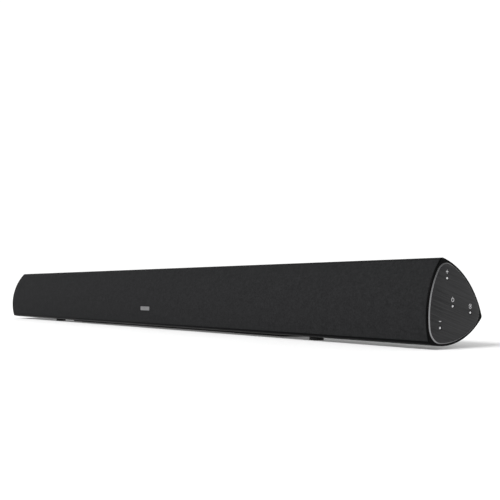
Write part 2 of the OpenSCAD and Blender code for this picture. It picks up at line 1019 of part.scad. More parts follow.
// Finned heat sink on the amplifier chip
module heat_sink() color(steel_colour) {
    size = [42, 8.5, 13];
    base = 2;
    fin = 2;
    fins = 7;
    pitch = (size.x - fin) / (fins - 1);
    on_board(amplifier_chip_x, amplifier_chip_y)
        translate([(amplifier_chip.x - size.x) / 2, 0, amplifier_chip.z]) {
            cube([size.x, size.y, base]);
            for (i = [0:fins - 1])
                translate([i * pitch, 0, base])
                    cube([fin, size.y, size.z - base]);
        }
}

// Remote receiver and status lights behind the cloth
module indicator_board() color(board_colour) {
    board = [32, 12, 1.2];
    receiver = [6, 6, 2.5];
    light_radius = 1.5;
    light_height = 1.6;
    facing_front(-75)
        translate([-board.x / 2, -board.y / 2, baffle_face]) {
            cube(board);
            translate([3, 3, board.z]) cube(receiver);
            for (i = [0:2])
                translate([15 + 5 * i, board.y / 2, board.z]) cylinder(h = light_height, r = light_radius);
        }
}

// Wires clipped under the baffle, with a branch to each driver and a drop to the amplifier
module speaker_wires() color("#8a1f1f") {
    level = 13;
    low = -29.2;
    bundle_radius = 1.3;
    branch_radius = 0.9;
    facing_front(0) rod([-tweeter_place, low, level], [tweeter_place, low, level], bundle_radius);
    for (site = driver_sites)
        facing_front(site[0]) rod([0, low, level], [0, -site[3], level], branch_radius);
    for (x = [98, 106])
        facing_front(x) rod([0, low, level], [0, low + 8, -2], branch_radius);
}

// ---- Stand ----

pedestal_centre_y = 7;
pedestal_corner = 18;
pedestal_floor = 2;
pedestal_wall = 2.5;
pedestal_rise = 20;

module pedestal_outline(inset) {
    rounded_rectangle(pedestal_length - 2 * inset, pedestal_width - 2 * inset, pedestal_corner - inset);
}

module pedestal() color(shell_colour) {
    underside = -section_low - pedestal_drop;
    difference() {
        upright(0, pedestal_centre_y, underside)
            linear_extrude(pedestal_rise) pedestal_outline(0);
        upright(0, pedestal_centre_y, underside + pedestal_floor)
            linear_extrude(pedestal_rise)
                intersection() {
                    pedestal_outline(pedestal_wall);
                    translate([-body_length, -5]) square([2 * body_length, pedestal_width]);
                }
        along_bar(-half_length, half_length)
            translate(polar(vertex_radius, top_angle))
                circle(section_side);
    }
}

// A long pad under each end of the pedestal, and a round foot under the body beyond it
module rubber_feet() color("#0a0a0a") {
    pad = [90, 24];
    pad_corner = 6;
    pad_place = 190;
    foot_place = 290;
    foot_height = 6;
    foot_radius = 7;
    floor_z = -section_low - pedestal_drop - foot_thickness;
    for (side = [-1, 1]) {
        upright(side * pad_place, pedestal_centre_y, floor_z)
            linear_extrude(foot_thickness) rounded_rectangle(pad.x, pad.y, pad_corner);
        difference() {
            upright(side * foot_place, vertex_radius * cos(top_angle), floor_z)
                cylinder(h = foot_height, r = foot_radius);
            along_bar(-half_length, half_length)
                translate(polar(vertex_radius, top_angle))
                    circle(section_side);
        }
    }
}

// ---- Nodes ----

rear_cover();
bottom_tray();
front_baffle();
grille_frame();
grille_cloth();
left_end_cap();
right_end_cap();
left_end_panel();
right_end_panel();
badge();
key(key_places[0]);  // volume_up_button
key(key_places[1]);  // power_button
key(key_places[2]);  // source_button
key(key_places[3]);  // volume_down_button
pedestal();
rubber_feet();
bass_port(-1);  // left_bass_port
bass_port(1);  // right_bass_port
connector_bay();
mains_inlet();
aux_jack();
optical_jack();
coaxial_jack();
subwoofer_jack();
amplifier_board();
power_supply_board();
heat_sink();
key_board();
indicator_board();
speaker_wires();
driver_gaskets();
driver_screws();
end_cap_screws();
tray_screws();
wall_mount_inserts();
for (site = woofer_sites) {
    name = woofer_name(site);
    woofer_frame(site[0]);
    woofer_magnet(site[0]);
    woofer_cone(site[0]);
    woofer_surround(site[0]);
    woofer_spider(site[0]);
}
for (side = [-1, 1]) {
    tweeter_body(side * tweeter_place);
    tweeter_dome(side * tweeter_place);
}
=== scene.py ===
"""Soundbar with a rounded triangular section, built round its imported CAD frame. Lengths in metres."""

import math

import bmesh
import bpy
from mathutils import Matrix, Vector


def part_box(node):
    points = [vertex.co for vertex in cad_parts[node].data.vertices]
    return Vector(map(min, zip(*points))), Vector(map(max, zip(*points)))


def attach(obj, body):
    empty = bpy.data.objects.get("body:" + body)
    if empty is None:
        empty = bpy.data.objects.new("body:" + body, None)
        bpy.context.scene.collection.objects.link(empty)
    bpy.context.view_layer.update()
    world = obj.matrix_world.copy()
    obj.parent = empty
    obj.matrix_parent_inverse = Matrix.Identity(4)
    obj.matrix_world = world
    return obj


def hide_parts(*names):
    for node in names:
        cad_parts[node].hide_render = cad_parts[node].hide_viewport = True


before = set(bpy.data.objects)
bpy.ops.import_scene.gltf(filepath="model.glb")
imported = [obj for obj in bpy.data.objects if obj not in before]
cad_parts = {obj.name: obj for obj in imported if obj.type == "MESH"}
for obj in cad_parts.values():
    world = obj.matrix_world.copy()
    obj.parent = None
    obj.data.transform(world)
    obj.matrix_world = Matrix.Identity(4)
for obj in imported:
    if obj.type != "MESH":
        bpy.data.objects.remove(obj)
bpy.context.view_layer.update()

MM = 0.001

# ---- The section, from the frame ----

SIDE = 72 * MM  # width of the section in every direction
TILT = math.radians(16.3)  # lean of the top corner towards the front
CORNER_ROUND = 3 * MM
CORNER_DISTANCE = SIDE / math.sqrt(3)  # from the centroid to a sharp corner

TOP = math.pi / 2 + TILT
BOTTOM = TOP + math.radians(120)
REAR = TOP - math.radians(120)
CORNERS = (REAR, TOP, BOTTOM)  # anticlockwise, seen from the end with the keys

HALF_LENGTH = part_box("right_end_cap")[1][0]
SHELL_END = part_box("rear_cover")[1][0]  # where the end caps' rims start
CENTRE_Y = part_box("grille_cloth")[0][1] + SIDE - CORNER_DISTANCE * math.cos(REAR)
CENTRE_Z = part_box("bottom_tray")[0][2] + SIDE - CORNER_DISTANCE * math.sin(TOP)
SEAM = math.radians(2.5)  # from a corner to the seam between shell and cloth
WALL = 3 * MM
TURN = 2 * math.pi

PANEL_INSET = 1.8 * MM  # from the section's outline to the panel's
PANEL_ROUND = 14 * MM
PANEL_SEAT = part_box("right_end_panel")[0][0]
PANEL_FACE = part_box("right_end_panel")[1][0]


def polar(radius, angle):
    """A point of the section, (y, z), at this distance and direction from the centroid."""
    return (CENTRE_Y + radius * math.cos(angle), CENTRE_Z + radius * math.sin(angle))


def arc(centre, radius, start, end, steps):
    """Points along an arc, its first point included and its last one left out."""
    span = (end - start + math.pi) % TURN - math.pi
    angles = [start + span * i / steps for i in range(steps)]
    return [(centre[0] + radius * math.cos(a), centre[1] + radius * math.sin(a)) for a in angles]


def direction(start, end):
    """Angle of the line from start to end."""
    return math.atan2(end[1] - start[1], end[0] - start[0])


def section(inset, corner, side_steps=48, corner_steps=10):
    """Outline of the section set in by inset, anticlockwise: a round corner, then a side, three times."""
    reach = SIDE - inset - corner
    distance = (math.sqrt(4 * reach**2 - SIDE**2) - CORNER_DISTANCE) / 2
    sharp = [polar(CORNER_DISTANCE, a) for a in CORNERS]
    centres = [polar(distance, a) for a in CORNERS]
    points = []
    for i in range(3):
        before, after = sharp[(i + 1) % 3], sharp[i - 1]
        here, following = centres[i], centres[(i + 1) % 3]
        points += arc(here, corner, direction(before, here), direction(after, here), corner_steps)
        points += arc(after, SIDE - inset, direction(after, here), direction(after, following), side_steps)
    return points


# ---- Mesh helpers ----


def new_piece(name, mesh_maker, materials, body="root", replaced=(), smooth=35):
    """A piece made by mesh_maker(bm), finished with its materials and riding on a body."""
    mesh = bpy.data.meshes.new(name)
    bm = bmesh.new()
    mesh_maker(bm)
    bmesh.ops.recalc_face_normals(bm, faces=bm.faces)
    bm.to_mesh(mesh)
    bm.free()
    piece = bpy.data.objects.new(name, mesh)
    bpy.context.scene.collection.objects.link(piece)
    for material in materials:
        mesh.materials.append(material)
    mesh.shade_smooth()
    mesh.set_sharp_from_angle(angle=math.radians(smooth))
    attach(piece, body)
    if replaced:
        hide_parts(*replaced)
    return piece


def add_ring(bm, points):
    """A vertex at each point."""
    return [bm.verts.new(p) for p in points]


def bridge(bm, first, second, material=0):
    """Quads between two rings of the same count."""
    count = len(first)
    for i in range(count):
        j = (i + 1) % count
        bm.faces.new((first[i], first[j], second[j], second[i])).material_index = material


def loft(bm, rings, materials=None, closed=False):
    """Rings joined one after another, and the last to the first if closed.

    Materials gives the material's number for each join.
    """
    made = [add_ring(bm, ring) for ring in rings]
    pairs = list(zip(made, made[1:]))
    if closed:
        pairs.append((made[-1], made[0]))
    for i, (first, second) in enumerate(pairs):
        bridge(bm, first, second, materials[i] if materials else 0)
    return made


def fill_with_holes(bm, rings):
    """Flat face bounded by the first ring, with the other rings as holes in it."""
    edges = [bm.edges.get((ring[i - 1], ring[i])) for ring in rings for i in range(len(ring))]
    bmesh.ops.triangle_fill(bm, use_beauty=True, use_dissolve=False, edges=edges)


def at_end(outline, x):
    """A section outline placed across the bar at x."""
    return [(x, y, z) for y, z in outline]


def circle_points(centre, radius, steps):
    """Points round a circle, anticlockwise."""
    angles = [TURN * i / steps for i in range(steps)]
    return [(centre[0] + radius * math.cos(a), centre[1] + radius * math.sin(a)) for a in angles]


def turned(bm, axis_frame, profile, steps):
    """A solid turned about axis_frame's Z from (radius, height) points that start and end on the axis."""
    rings = []
    for radius, height in profile:
        spots = circle_points((0, 0), radius, steps) if radius else [(0, 0)]
        rings.append(add_ring(bm, [axis_frame @ Vector((*spot, height)) for spot in spots]))
    for first, second in zip(rings, rings[1:]):
        if len(first) == len(second):
            bridge(bm, first, second)
            continue
        tip, rim = (first[0], second) if len(first) == 1 else (second[0], first)
        for i in range(steps):
            bm.faces.new((tip, rim[i - 1], rim[i]))


def facing(axis, place):
    """Frame at place whose Z points along axis, for turned pieces."""
    rotation = Vector((0, 0, 1)).rotation_difference(Vector(axis)).to_matrix().to_4x4()
    return Matrix.Translation(place) @ rotation


def prism(bm, outline, place):
    """A flat closed solid: outline is a list of 2D points, place(point, level) puts it in space."""
    low = add_ring(bm, [place(p, 0) for p in outline])
    high = add_ring(bm, [place(p, 1) for p in outline])
    bridge(bm, low, high)
    bm.faces.new(low)
    bm.faces.new(high)


# ---- Materials ----


class Look:
    """A Principled material and short calls for the nodes that feed it."""

    def __init__(self, name, **constants):
        self.material = bpy.data.materials.new(name)
        self.material.use_nodes = True
        self.tree = self.material.node_tree
        self.shader = next(n for n in self.tree.nodes if n.type == "BSDF_PRINCIPLED")
        for socket, value in constants.items():
            self.shader.inputs[socket.replace("_", " ")].default_value = value
        self.place = self.node("ShaderNodeTexCoord").outputs["Object"]

    def node(self, kind, settings=None, **inputs):
        """A node with its settings, and its inputs, linked or given as values, by name or as i0, i1."""
        made = self.tree.nodes.new(kind)
        for key, value in (settings or {}).items():
            setattr(made, key, value)
        for key, value in inputs.items():
            numbered = key[0] == "i" and key[1:].isdigit()
            socket = made.inputs[int(key[1:]) if numbered else key]
            if isinstance(value, bpy.types.NodeSocket):
                self.tree.links.new(value, socket)
            else:
                socket.default_value = value
        return made

    def math(self, operation, first, second=0.0):
        """Result of a sum done on one or two values."""
        return self.node("ShaderNodeMath", {"operation": operation}, i0=first, i1=second).outputs[0]

    def stretched(self, scale, rotation=(0, 0, 0)):
        """The object's own coordinates, rotated and then scaled along each axis."""
        turned_place = self.node("ShaderNodeVectorRotate", {"rotation_type": "EULER_XYZ"},
                                 Vector=self.place, Rotation=rotation).outputs[0]
        return self.node("ShaderNodeVectorMath", {"operation": "MULTIPLY"},
                         i0=turned_place, i1=scale).outputs[0]

    def noise(self, scale, detail=4.0, roughness=0.5, vector=None):
        """Noise from 0 to 1, with scale features to the metre."""
        return self.node("ShaderNodeTexNoise", Vector=vector or self.place, Scale=scale,
                         Detail=detail, Roughness=roughness).outputs["Fac"]

    def cells(self, scale):
        """Distance from the middle of the nearest cell."""
        return self.node("ShaderNodeTexVoronoi", {"feature": "F1"},
                         Vector=self.place, Scale=scale).outputs["Distance"]

    def remap(self, value, from_low, from_high, to_low, to_high):
        """Value stretched from one range to another, and held inside it."""
        made = self.node("ShaderNodeMapRange", {"clamp": True}, Value=value)
        for key, number in zip(("From Min", "From Max", "To Min", "To Max"),
                               (from_low, from_high, to_low, to_high)):
            made.inputs[key].default_value = number
        return made.outputs[0]

    def tint(self, value, dark, light):
        """Base colour between dark and light by value."""
        made = self.node("ShaderNodeMix", {"data_type": "RGBA"}, Factor=value)
        made.inputs["A"].default_value = (*dark, 1)
        made.inputs["B"].default_value = (*light, 1)
        self.tree.links.new(made.outputs["Result"], self.shader.inputs["Base Color"])

    def rough(self, value, low, high):
        """Roughness between low and high by value."""
        self.tree.links.new(self.remap(value, 0.3, 0.7, low, high), self.shader.inputs["Roughness"])

    def bump(self, height, strength, distance):
        """Relief in the surface, from height."""
        made = self.node("ShaderNodeBump", Height=height, Strength=strength, Distance=distance)
        self.tree.links.new(made.outputs["Normal"], self.shader.inputs["Normal"])


def grille_cloth_look():
    """Plain weave of flecked charcoal yarn, laid by the arc's length and the bar's length."""
    look = Look("grille_cloth", Specular_IOR_Level=0.02)
    pitch = 0.55 * MM  # from one thread to the next
    rear_y, rear_z = polar(CORNER_DISTANCE, REAR)  # the cloth's arc is drawn about the rear corner
    split = look.node("ShaderNodeSeparateXYZ", Vector=look.place)
    across = look.math("ARCTAN2", look.math("SUBTRACT", split.outputs["Z"], rear_z),
                       look.math("SUBTRACT", rear_y, split.outputs["Y"]))
    along = look.math("MULTIPLY", split.outputs["X"], 1 / pitch)
    up = look.math("MULTIPLY", across, SIDE / pitch)
    lattice = look.node("ShaderNodeCombineXYZ", X=along, Y=up).outputs[0]
    over = look.node("ShaderNodeTexChecker", Vector=lattice, Scale=1.0).outputs["Fac"]
    warp = look.math("ABSOLUTE", look.math("SINE", look.math("MULTIPLY", along, math.pi)))
    weft = look.math("ABSOLUTE", look.math("SINE", look.math("MULTIPLY", up, math.pi)))
    thread = look.node("ShaderNodeMix", Factor=over, i2=warp, i3=weft).outputs[0]
    fibre = look.noise(2600.0, detail=3.0)
    fleck = look.noise(620.0, detail=5.0, roughness=0.7)
    patch = look.noise(210.0, detail=2.0, roughness=0.6)
    yarn = look.remap(thread, 0.0, 1.0, 0.45, 1.0)
    tone = look.math("MULTIPLY", yarn, look.remap(fleck, 0.35, 0.65, 0.62, 1.0))
    tone = look.math("MULTIPLY", tone, look.remap(patch, 0.35, 0.65, 0.84, 1.0))
    look.tint(tone, (0.001, 0.001, 0.0011), (0.0215, 0.0218, 0.0226))
    look.rough(fibre, 0.78, 0.95)
    look.bump(look.math("ADD", thread, look.math("MULTIPLY", fibre, 0.4)), 0.55, 0.12 * MM)
    return look.material


def moulded_look(name, colour, roughness, grain_strength, shine=0.3):
    """Moulded plastic: a fine spark-eroded grain, and a little unevenness in its gloss."""
    look = Look(name, Specular_IOR_Level=shine)
    grain = look.noise(5200.0, detail=3.0, roughness=0.6)
    wear = look.noise(38.0, detail=5.0, roughness=0.62)
    darker = tuple(c * 0.72 for c in colour)
    look.tint(wear, darker, colour)
    look.rough(wear, roughness * 0.85, roughness * 1.2)
    look.bump(grain, grain_strength, 0.04 * MM)
    return look.material


def gloss_look(name, colour):
    """Polished black plastic with a faint orange peel and finger-wiped haze."""
    look = Look(name, Specular_IOR_Level=0.02)
    peel = look.noise(420.0, detail=2.0)
    haze = look.noise(26.0, detail=6.0, roughness=0.65)
    look.tint(haze, tuple(c * 0.7 for c in colour), colour)
    look.rough(haze, 0.30, 0.42)
    look.bump(peel, 0.06, 0.05 * MM)
    return look.material


def brushed_panel_look():
    """Dark anodised aluminium, brushed along a line that drops towards the rear."""
    look = Look("brushed_panel", Metallic=1.0, Anisotropic=0.55)
    slope = math.radians(16)
    fine = look.noise(1.0, detail=6.0, roughness=0.7,
                      vector=look.stretched((1.0, 60.0, 5200.0), (slope, 0, 0)))
    broad = look.noise(1.0, detail=4.0, roughness=0.6,
                       vector=look.stretched((1.0, 22.0, 1300.0), (slope, 0, 0)))
    lines = look.math("ADD", look.math("MULTIPLY", fine, 0.55), look.math("MULTIPLY", broad, 0.45))
    look.tint(look.remap(lines, 0.36, 0.64, 0.0, 1.0), (0.016, 0.016, 0.0165), (0.046, 0.046, 0.0475))
    look.rough(lines, 0.34, 0.52)
    look.bump(lines, 0.35, 0.05 * MM)
    return look.material


def metal_look(name, colour, low, high):
    """Bare metal with fine random handling marks; its roughness lies between low and high."""
    look = Look(name, Metallic=1.0)
    marks = look.noise(900.0, detail=6.0, roughness=0.7)
    cloud = look.noise(120.0, detail=3.0)
    look.tint(cloud, tuple(c * 0.86 for c in colour), colour)
    look.rough(marks, low, high)
    look.bump(marks, 0.08, 0.02 * MM)
    return look.material


def rubber_look():
    """Black rubber, grained and a little dusty."""
    look = Look("rubber", Specular_IOR_Level=0.35)
    grain = look.noise(2400.0, detail=4.0, roughness=0.7)
    dust = look.noise(90.0, detail=5.0, roughness=0.7)
    look.tint(dust, (0.006, 0.006, 0.006), (0.020, 0.020, 0.020))
    look.rough(dust, 0.72, 0.92)
    look.bump(grain, 0.5, 0.05 * MM)
    return look.material


def printed_look():
    """Light grey screen print, thicker in some places than in others."""
    look = Look("printed_symbol")
    ink = look.noise(3000.0, detail=3.0)
    look.tint(ink, (0.42, 0.42, 0.43), (0.60, 0.60, 0.61))
    look.rough(ink, 0.42, 0.62)
    look.bump(ink, 0.2, 0.01 * MM)
    return look.material


def circuit_look():
    """Green solder mask over a lattice of tracks, with pale pads."""
    look = Look("circuit_board")
    tracks = look.node("ShaderNodeTexBrick", {"offset": 0.37, "squash": 0.6},
                       Vector=look.place, Scale=210.0)
    tracks.inputs["Mortar Size"].default_value = 0.06
    pads = look.remap(look.cells(420.0), 0.12, 0.2, 0.7, 0.0)
    pattern = look.math("MAXIMUM", look.math("MULTIPLY", tracks.outputs["Fac"], 0.3), pads)
    look.tint(pattern, (0.008, 0.062, 0.028), (0.30, 0.34, 0.22))
    look.rough(look.noise(300.0), 0.25, 0.4)
    look.bump(pattern, 0.3, 0.05 * MM)
    return look.material


def fibre_look(name, dark, light, scale, roughness):
    """Pressed paper, treated cloth or coated silk: matted fibres."""
    look = Look(name, Sheen_Weight=0.1)
    fibre = look.noise(scale, detail=7.0, roughness=0.75)
    look.tint(look.remap(fibre, 0.35, 0.65, 0.0, 1.0), dark, light)
    look.rough(fibre, roughness - 0.1, roughness + 0.08)
    look.bump(fibre, 0.4, 0.06 * MM)
    return look.material


def socket_look(name, node, colour, inner, outer, offset=0.0):
    """A rear socket, its metal contacts told from the coloured moulding by distance from their axis.

    Metal lies within the inner radius and, where outer gives two radii, between those as well.
    Offset is half the pitch of a pair of pins.
    """
    look = Look(name, Specular_IOR_Level=0.3)
    low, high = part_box(node)
    split = look.node("ShaderNodeSeparateXYZ", Vector=look.place)
    aside = look.math("ABSOLUTE", look.math("SUBTRACT", split.outputs["X"], (low[0] + high[0]) / 2))
    aside = look.math("SUBTRACT", aside, offset)
    above = look.math("SUBTRACT", split.outputs["Z"], (low[2] + high[2]) / 2)
    squares = look.math("ADD", look.math("POWER", aside, 2.0), look.math("POWER", above, 2.0))
    away = look.math("SQRT", squares)
    metal = look.math("LESS_THAN", away, inner)
    if outer:
        barrel = look.math("MULTIPLY", look.math("GREATER_THAN", away, outer[0]),
                           look.math("LESS_THAN", away, outer[1]))
        metal = look.math("MAXIMUM", metal, barrel)
    look.tree.links.new(metal, look.shader.inputs["Metallic"])
    look.tint(metal, colour, (0.62, 0.60, 0.56))
    look.rough(look.noise(900.0), 0.28, 0.45)
    look.bump(look.noise(4200.0), 0.15, 0.03 * MM)
    return look.material


# Metal contacts of the rear sockets, as radii about the socket's axis
MAINS_PIN = 1.35 * MM
MAINS_PIN_OFFSET = 4.3 * MM
PHONO_CENTRE = 1.7 * MM
PHONO_BARREL = (2.95 * MM, 4.3 * MM)
AUX_RING = 2.5 * MM


def make_looks():
    """Every material that the pieces use, by name."""
    black = (0.010, 0.0102, 0.0108)
    orange = (0.50, 0.13, 0.015)
    purple = (0.10, 0.03, 0.20)
    return {
        "cloth": grille_cloth_look(),
        "gloss": gloss_look("gloss_shell", (0.0022, 0.0022, 0.0024)),
        "satin": moulded_look("satin_shell", (0.0085, 0.0086, 0.0090), 0.48, 0.5, shine=0.08),
        "rim": moulded_look("rim_shell", (0.0014, 0.0014, 0.0015), 0.32, 0.12, shine=0.03),
        "matte": moulded_look("matte_moulding", black, 0.6, 0.5),
        "panel": brushed_panel_look(),
        "edge": metal_look("cut_edge", (0.26, 0.26, 0.265), 0.22, 0.34),
        "bead": metal_look("bright_bead", (0.56, 0.56, 0.57), 0.2, 0.34),
        "badge": metal_look("badge_metal", (0.20, 0.20, 0.205), 0.28, 0.42),
        "print": printed_look(),
        "rubber": rubber_look(),
        "steel": metal_look("zinc_steel", (0.50, 0.51, 0.53), 0.28, 0.42),
        "brass": metal_look("brass", (0.66, 0.46, 0.17), 0.22, 0.4),
        "aluminium": metal_look("bare_aluminium", (0.72, 0.73, 0.74), 0.3, 0.45),
        "paint": moulded_look("basket_paint", black, 0.38, 0.3),
        "wire": moulded_look("wire_sleeve", (0.35, 0.02, 0.02), 0.4, 0.2),
        "circuit": circuit_look(),
        "paper": fibre_look("paper_cone", (0.010, 0.010, 0.011), (0.035, 0.035, 0.038), 1800.0, 0.75),
        "spider": fibre_look("spider_cloth", (0.20, 0.12, 0.04), (0.48, 0.32, 0.13), 2200.0, 0.8),
        "silk": fibre_look("dome_silk", (0.30, 0.31, 0.33), (0.50, 0.52, 0.54), 2600.0, 0.6),
        "mains": socket_look("mains_socket", "mains_inlet", black, MAINS_PIN, None, MAINS_PIN_OFFSET),
        "coaxial": socket_look("coaxial_socket", "coaxial_jack", orange, PHONO_CENTRE, PHONO_BARREL),
        "subwoofer": socket_look("subwoofer_socket", "subwoofer_jack", purple, PHONO_CENTRE, PHONO_BARREL),
        "aux": socket_look("aux_socket", "aux_jack", black, AUX_RING, None),
    }


LOOKS = make_looks()

# What each CAD node is made of: a name or the end of one, and its look. The first that fits is taken.
NODE_LOOKS = (
    ("_woofer_frame", "paint"), ("_magnet", "steel"), ("_cone", "paper"), ("_surround", "rubber"),
    ("_spider", "spider"), ("_dome", "silk"), ("_tweeter_body", "matte"), ("_board", "circuit"),
    ("_screws", "steel"), ("_gaskets", "rubber"), ("_wires", "wire"), ("_inserts", "brass"),
    ("_feet", "rubber"), ("_port", "matte"), ("heat_sink", "aluminium"), ("mains_inlet", "mains"),
    ("coaxial_jack", "coaxial"), ("subwoofer_jack", "subwoofer"), ("aux_jack", "aux"),
    ("front_baffle", "matte"), ("grille_frame", "matte"), ("_jack", "matte"), ("pedestal", "satin"),
    ("connector_bay", "satin"), ("rear_cover", "satin"), ("bottom_tray", "gloss"), ("_cap", "rim"),
    ("_panel", "panel"), ("_button", "bead"), ("badge", "badge"), ("grille_cloth", "cloth"),
)

# Pieces whose edges are in plain view, and how far the edges are broken
EDGE_BREAKS = {
    "pedestal": 0.5 * MM,
    "connector_bay": 0.3 * MM,
    "mains_inlet": 0.2 * MM,
    "optical_jack": 0.2 * MM,
    "aux_jack": 0.2 * MM,
    "coaxial_jack": 0.15 * MM,
    "subwoofer_jack": 0.15 * MM,
    "rubber_feet": 0.2 * MM,
    "wall_mount_inserts": 0.15 * MM,
}


def dress_nodes():
    """Give every CAD node its look, and break the edges that show."""
    for name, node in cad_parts.items():
        look = next(look for end, look in NODE_LOOKS if name.endswith(end))
        node.data.materials.clear()
        node.data.materials.append(LOOKS[look])
        if name in EDGE_BREAKS:
            join = node.modifiers.new("join", "WELD")
            join.merge_threshold = 0.001 * MM
            broken = node.modifiers.new("broken_edge", "BEVEL")
            broken.width = EDGE_BREAKS[name]
            broken.segments = 2
            broken.limit_method = "ANGLE"
            broken.angle_limit = math.radians(40)
            broken.harden_normals = True


# ---- Front cloth ----


def ray_hit(inset, corner, angle):
    """Where the direction angle from the centroid crosses the section set in by inset."""
    points = section(inset, corner, 240, 40)
    centre = (CENTRE_Y, CENTRE_Z)
    return min(points, key=lambda p: abs((direction(centre, p) - angle + math.pi) % TURN - math.pi))


def make_cloth():
    """The cloth lies on an arc about the rear corner and rolls in along all four borders."""
    rear = polar(CORNER_DISTANCE, REAR)
    start = direction(rear, ray_hit(0, CORNER_ROUND, TOP + SEAM)) % TURN
    end = direction(rear, ray_hit(0, CORNER_ROUND, BOTTOM - SEAM)) % TURN
    roll = 0.7 * MM  # radius of the border where it turns in
    tuck = 0.9 * MM  # what lies behind the turned border
    turn = [i * math.pi / 10 for i in range(1, 6)]
    rim = [(0.0, roll + tuck), (0.0, roll)]
    rim += [(roll * (1 - math.cos(a)), roll * (1 - math.sin(a))) for a in turn]

    def stations(length, count):
        """Places along a side and how far the cloth has dropped at each."""
        middle = [(roll + (length - 2 * roll) * i / count, 0.0) for i in range(1, count)]
        far = [(length - place, drop) for place, drop in reversed(rim)]
        return rim + middle + far

    def build(bm):
        around = stations(SIDE * (end - start), 96)
        along = stations(2 * SHELL_END, 160)
        grid = []
        for place, drop in around:
            angle = start + place / SIDE
            row = []
            for x, side_drop in along:
                radius = SIDE - max(drop, side_drop)
                row.append(bm.verts.new((x - SHELL_END, rear[0] + radius * math.cos(angle),
                                         rear[1] + radius * math.sin(angle))))
            grid.append(row)
        for lower, upper in zip(grid, grid[1:]):
            for i in range(len(lower) - 1):
                bm.faces.new((lower[i], lower[i + 1], upper[i + 1], upper[i]))

    cloth = new_piece("front_cloth", build, [LOOKS["cloth"]],
                      replaced=["grille_cloth"], smooth=80)
    thick = cloth.modifiers.new("thickness", "SOLIDIFY")
    thick.thickness = 0.5 * MM
    thick.offset = -1


# ---- Ends ----

KEY_NAMES = ("volume_up", "power", "source", "volume_down")
KEY_RADIUS = 1.2 * MM
KEY_GAP = 0.3 * MM
KEY_FLANGE_RADIUS = 2.6 * MM
KEY_FLANGE_THICKNESS = 0.8 * MM
KEY_FLANGE_GAP = 0.1 * MM
KEY_STEM_RADIUS = 1.0 * MM
KEY_WELL_RADIUS = 3 * MM  # hole behind the panel that a key's flange moves in

SCREW_DISTANCE = 31 * MM  # from the centroid towards each corner
SCREW_HEAD_HOLE = 2.9 * MM
SCREW_HEAD_DEPTH = 1.9 * MM
SCREW_SHANK_HOLE = 1.7 * MM


def key_centre(name):
    """Middle of a key, (y, z)."""
    low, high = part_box(f"{name}_button")
    return ((low[1] + high[1]) / 2, (low[2] + high[2]) / 2)


def sided(side, points):
    """Points for the right end, mirrored if side is -1."""
    return [(side * x, y, z) for x, y, z in points]


def drill(bm, side, centre, steps, stages, materials):
    """A stepped or countersunk hole from (x, radius) stages. Returns its first and last rings."""
    rings = [sided(side, at_end(circle_points(centre, radius, steps), x)) for x, radius in stages]
    made = loft(bm, rings, materials)
    return made[0], made[-1]


def make_end_cap(side):
    """The cap's rim with rounded edges, the recess for the panel, and the plug inside the shells."""
    name = "right" if side > 0 else "left"
    plug_back = -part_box("left_end_cap")[1][0]
    plug_inset = WALL + 0.1 * MM
    plug_corner = 1 * MM
    blunt = 0.12 * MM  # break of the rim's back edge
    bevel = 0.45 * MM  # radius of the rim's front edge
    rolled = [(HALF_LENGTH - bevel + bevel * math.sin(a), bevel * (1 - math.cos(a)))
              for a in [i * math.pi / 12 for i in range(7)]]
    recess = PANEL_INSET - 0.05 * MM
    chamfer = 0.2 * MM  # round the mouth of the recess
    head_seat = PANEL_SEAT - SCREW_HEAD_DEPTH
    screw_stages = [(PANEL_SEAT, SCREW_HEAD_HOLE), (head_seat, SCREW_HEAD_HOLE),
                    (head_seat, SCREW_SHANK_HOLE), (plug_back, SCREW_SHANK_HOLE)]
    key_stages = [(PANEL_SEAT, KEY_WELL_RADIUS), (plug_back, KEY_WELL_RADIUS)]

    def build(bm):
        rings = [
            at_end(section(plug_inset, plug_corner), plug_back),
            at_end(section(plug_inset, plug_corner), SHELL_END),
            at_end(section(blunt, CORNER_ROUND - blunt), SHELL_END),
            at_end(section(0, CORNER_ROUND), SHELL_END + blunt),
            *[at_end(section(inset, CORNER_ROUND - inset), x) for x, inset in rolled],
            at_end(section(recess - chamfer, PANEL_ROUND), HALF_LENGTH),
            at_end(section(recess, PANEL_ROUND), HALF_LENGTH - chamfer),
            at_end(section(recess, PANEL_ROUND), PANEL_SEAT),
        ]
        made = loft(bm, [sided(side, ring) for ring in rings])
        holes = [drill(bm, side, polar(SCREW_DISTANCE, corner), 24, screw_stages, None)
                 for corner in CORNERS]
        if side > 0:
            holes += [drill(bm, side, key_centre(key), 32, key_stages, None) for key in KEY_NAMES]
        fill_with_holes(bm, [made[-1]] + [front for front, _ in holes])
        fill_with_holes(bm, [made[0]] + [back for _, back in holes])

    new_piece(f"{name}_cap_shell", build, [LOOKS["rim"]], replaced=[f"{name}_end_cap"])


